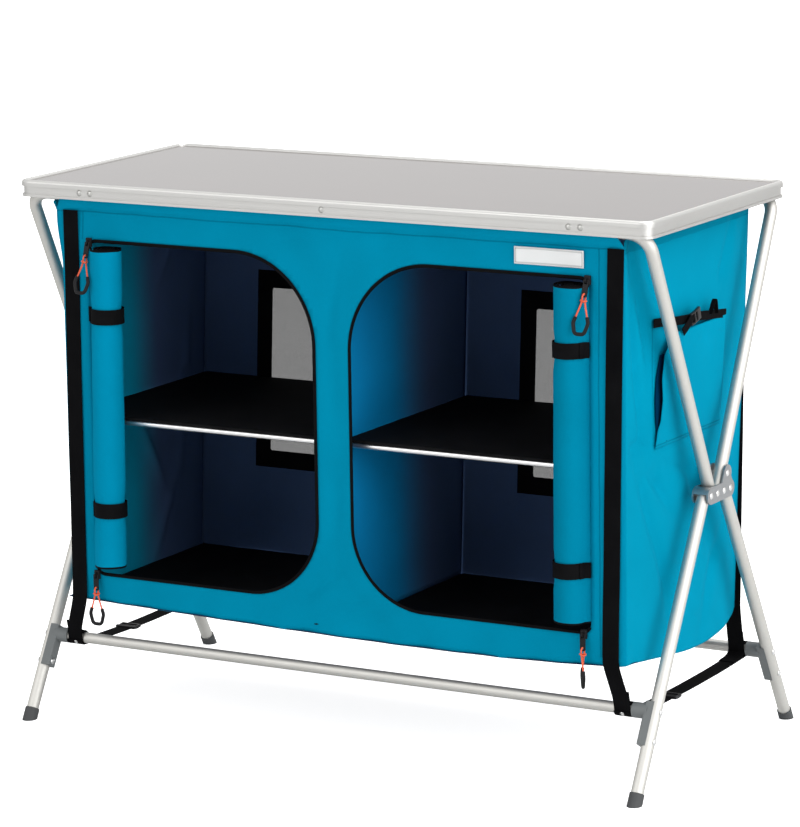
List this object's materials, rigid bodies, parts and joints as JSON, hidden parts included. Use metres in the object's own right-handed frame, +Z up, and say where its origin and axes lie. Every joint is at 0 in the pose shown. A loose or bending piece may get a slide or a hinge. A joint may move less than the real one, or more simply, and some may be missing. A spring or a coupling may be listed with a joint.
{
  "type": "camping cupboard",
  "caption": "Folding camping cupboard with a rigid worktop on crossed tube legs, and a hanging cloth cabinet with roll-up doors, shelves, net windows and a side pocket.",
  "frame": {"origin": "centre of the footprint, on the floor", "axes": "+X runs along the front towards the right as the user faces it, +Y points to the back wall, +Z points up to the worktop"},
  "size_m": [1.0246, 0.5262, 0.8],
  "materials": {
    "dark_laminate": "high gloss laminate",
    "satin_aluminium": "satin anodised",
    "grey_steel": "satin",
    "rivet_metal": "satin",
    "grey_plastic": "fine texture",
    "blue_cloth": "plain woven polyester, coated inside",
    "navy_cloth": "coated woven polyester",
    "black_cloth": "woven polyester over board",
    "black_webbing": "ribbed webbing",
    "black_net": "fine net",
    "black_zip": "coil zip tape",
    "black_plastic": "satin",
    "white_label": "woven, bare",
    "bright_steel": "polished",
    "orange_cord": "braided"
  },
  "bodies": {
    "back_frame": {"back_bow": "satin_aluminium", "left_bracket": "grey_steel", "right_bracket": "grey_steel", "bracket_rivets": "rivet_metal"},
    "front_bow": {"front_bow": "satin_aluminium"},
    "front_legs": {"front_left_leg": "satin_aluminium", "front_right_leg": "satin_aluminium", "front_rail": "satin_aluminium", "front_elbows": "grey_plastic", "front_foot_caps": "grey_plastic", "front_leg_rivets": "rivet_metal", "left_cross_strap": "black_webbing", "right_cross_strap": "black_webbing", "cross_strap_buckles": "black_plastic"},
    "back_legs": {"back_left_leg": "satin_aluminium", "back_right_leg": "satin_aluminium", "back_rail": "satin_aluminium", "back_elbows": "grey_plastic", "back_foot_caps": "grey_plastic", "back_leg_rivets": "rivet_metal"},
    "cabinet_front": {"front_wall": "blue_cloth", "left_zip": "black_zip", "right_zip": "black_zip", "left_door_roll": "blue_cloth", "right_door_roll": "blue_cloth", "roll_straps": "black_webbing", "front_label": "white_label", "front_straps": "black_webbing", "left_shelf_rod": "bright_steel", "right_shelf_rod": "bright_steel", "zip_sliders": "black_plastic"},
    "cabinet_back": {"back_wall": "blue_cloth", "left_window_mesh": "black_net", "right_window_mesh": "black_net", "window_borders": "black_cloth", "back_straps": "black_webbing"},
    "cabinet_middle": {"left_side_wall": "blue_cloth", "right_side_wall": "blue_cloth", "divider": "blue_cloth", "cabinet_bottom": "navy_cloth", "left_floor_board": "black_cloth", "right_floor_board": "black_cloth", "left_shelf": "black_cloth", "right_shelf": "black_cloth", "side_pocket": "blue_cloth", "pocket_strap": "black_webbing", "pocket_buckle": "black_plastic"},
    "worktop": {"worktop_panel": "dark_laminate", "worktop_rim": "satin_aluminium", "rim_rivets": "rivet_metal"},
    "left_top_pull": {"left_top_pull_cord": "orange_cord", "left_top_pull_grip": "black_plastic"},
    "left_bottom_pull": {"left_bottom_pull_cord": "orange_cord", "left_bottom_pull_grip": "black_plastic"},
    "right_top_pull": {"right_top_pull_cord": "orange_cord", "right_top_pull_grip": "black_plastic"},
    "right_bottom_pull": {"right_bottom_pull_cord": "orange_cord", "right_bottom_pull_grip": "black_plastic"}
  },
  "joints": [
    {"name": "frame_fold", "type": "hinge", "parent": "back_frame", "child": "front_bow", "pos_m": [0, -0.0104, 0.3895], "axis": [-1, 0, 0], "range_deg": [0, 49], "deforming": ["left_side_wall", "right_side_wall", "divider", "cabinet_bottom", "left_floor_board", "right_floor_board", "left_shelf", "right_shelf", "side_pocket", "pocket_strap", "left_cross_strap", "right_cross_strap", "front_straps", "back_straps"]},
    {"name": "front_legs_fold", "type": "hinge", "parent": "back_frame", "child": "front_legs", "pos_m": [0, -0.0312, 0.3895], "axis": [1, 0, 0], "range_deg": [0, 3]},
    {"name": "back_legs_fold", "type": "hinge", "parent": "back_frame", "child": "back_legs", "pos_m": [0, 0.0312, 0.3895], "axis": [-1, 0, 0], "range_deg": [0, 55]},
    {"name": "cabinet_front_hang", "type": "hinge", "parent": "front_bow", "child": "cabinet_front", "pos_m": [0, -0.204, 0.781], "axis": [1, 0, 0], "range_deg": [0, 23]},
    {"name": "cabinet_back_hang", "type": "hinge", "parent": "back_frame", "child": "cabinet_back", "pos_m": [0, 0.204, 0.781], "axis": [-1, 0, 0], "range_deg": [0, 22.5]},
    {"name": "cabinet_middle_fold", "type": "hinge", "parent": "back_frame", "child": "cabinet_middle", "pos_m": [0, 0.1029, 0.3918], "axis": [-1, 0, 0], "range_deg": [0, 26]},
    {"name": "top_lift", "type": "slide", "parent": "back_frame", "child": "worktop", "axis": [0, 0, 1], "range_m": [0, 0.214]},
    {"name": "left_top_pull_swing", "type": "hinge", "parent": "cabinet_front", "child": "left_top_pull", "pos_m": [-0.3945, -0.2147, 0.714], "axis": [-1, 0, 0], "range_deg": [0, 52]},
    {"name": "left_bottom_pull_swing", "type": "hinge", "parent": "cabinet_front", "child": "left_bottom_pull", "pos_m": [-0.397, -0.2147, 0.2215], "axis": [-1, 0, 0], "range_deg": [0, 70]},
    {"name": "right_top_pull_swing", "type": "hinge", "parent": "cabinet_front", "child": "right_top_pull", "pos_m": [0.411, -0.2147, 0.714], "axis": [-1, 0, 0], "range_deg": [0, 52]},
    {"name": "right_bottom_pull_swing", "type": "hinge", "parent": "cabinet_front", "child": "right_bottom_pull", "pos_m": [0.402, -0.2147, 0.2215], "axis": [-1, 0, 0], "range_deg": [0, 70]}
  ],
  "couplings": [
    {"joint": "front_legs_fold", "follows": "frame_fold", "ratio": 0.0612},
    {"joint": "back_legs_fold", "follows": "frame_fold", "ratio": 1.1224},
    {"joint": "cabinet_front_hang", "follows": "frame_fold", "ratio": 0.4693},
    {"joint": "cabinet_back_hang", "follows": "frame_fold", "ratio": 0.4591},
    {"joint": "cabinet_middle_fold", "follows": "frame_fold", "ratio": 0.5306},
    {"joint": "top_lift", "follows": "frame_fold", "m_per_rad": 0.25}
  ]
}
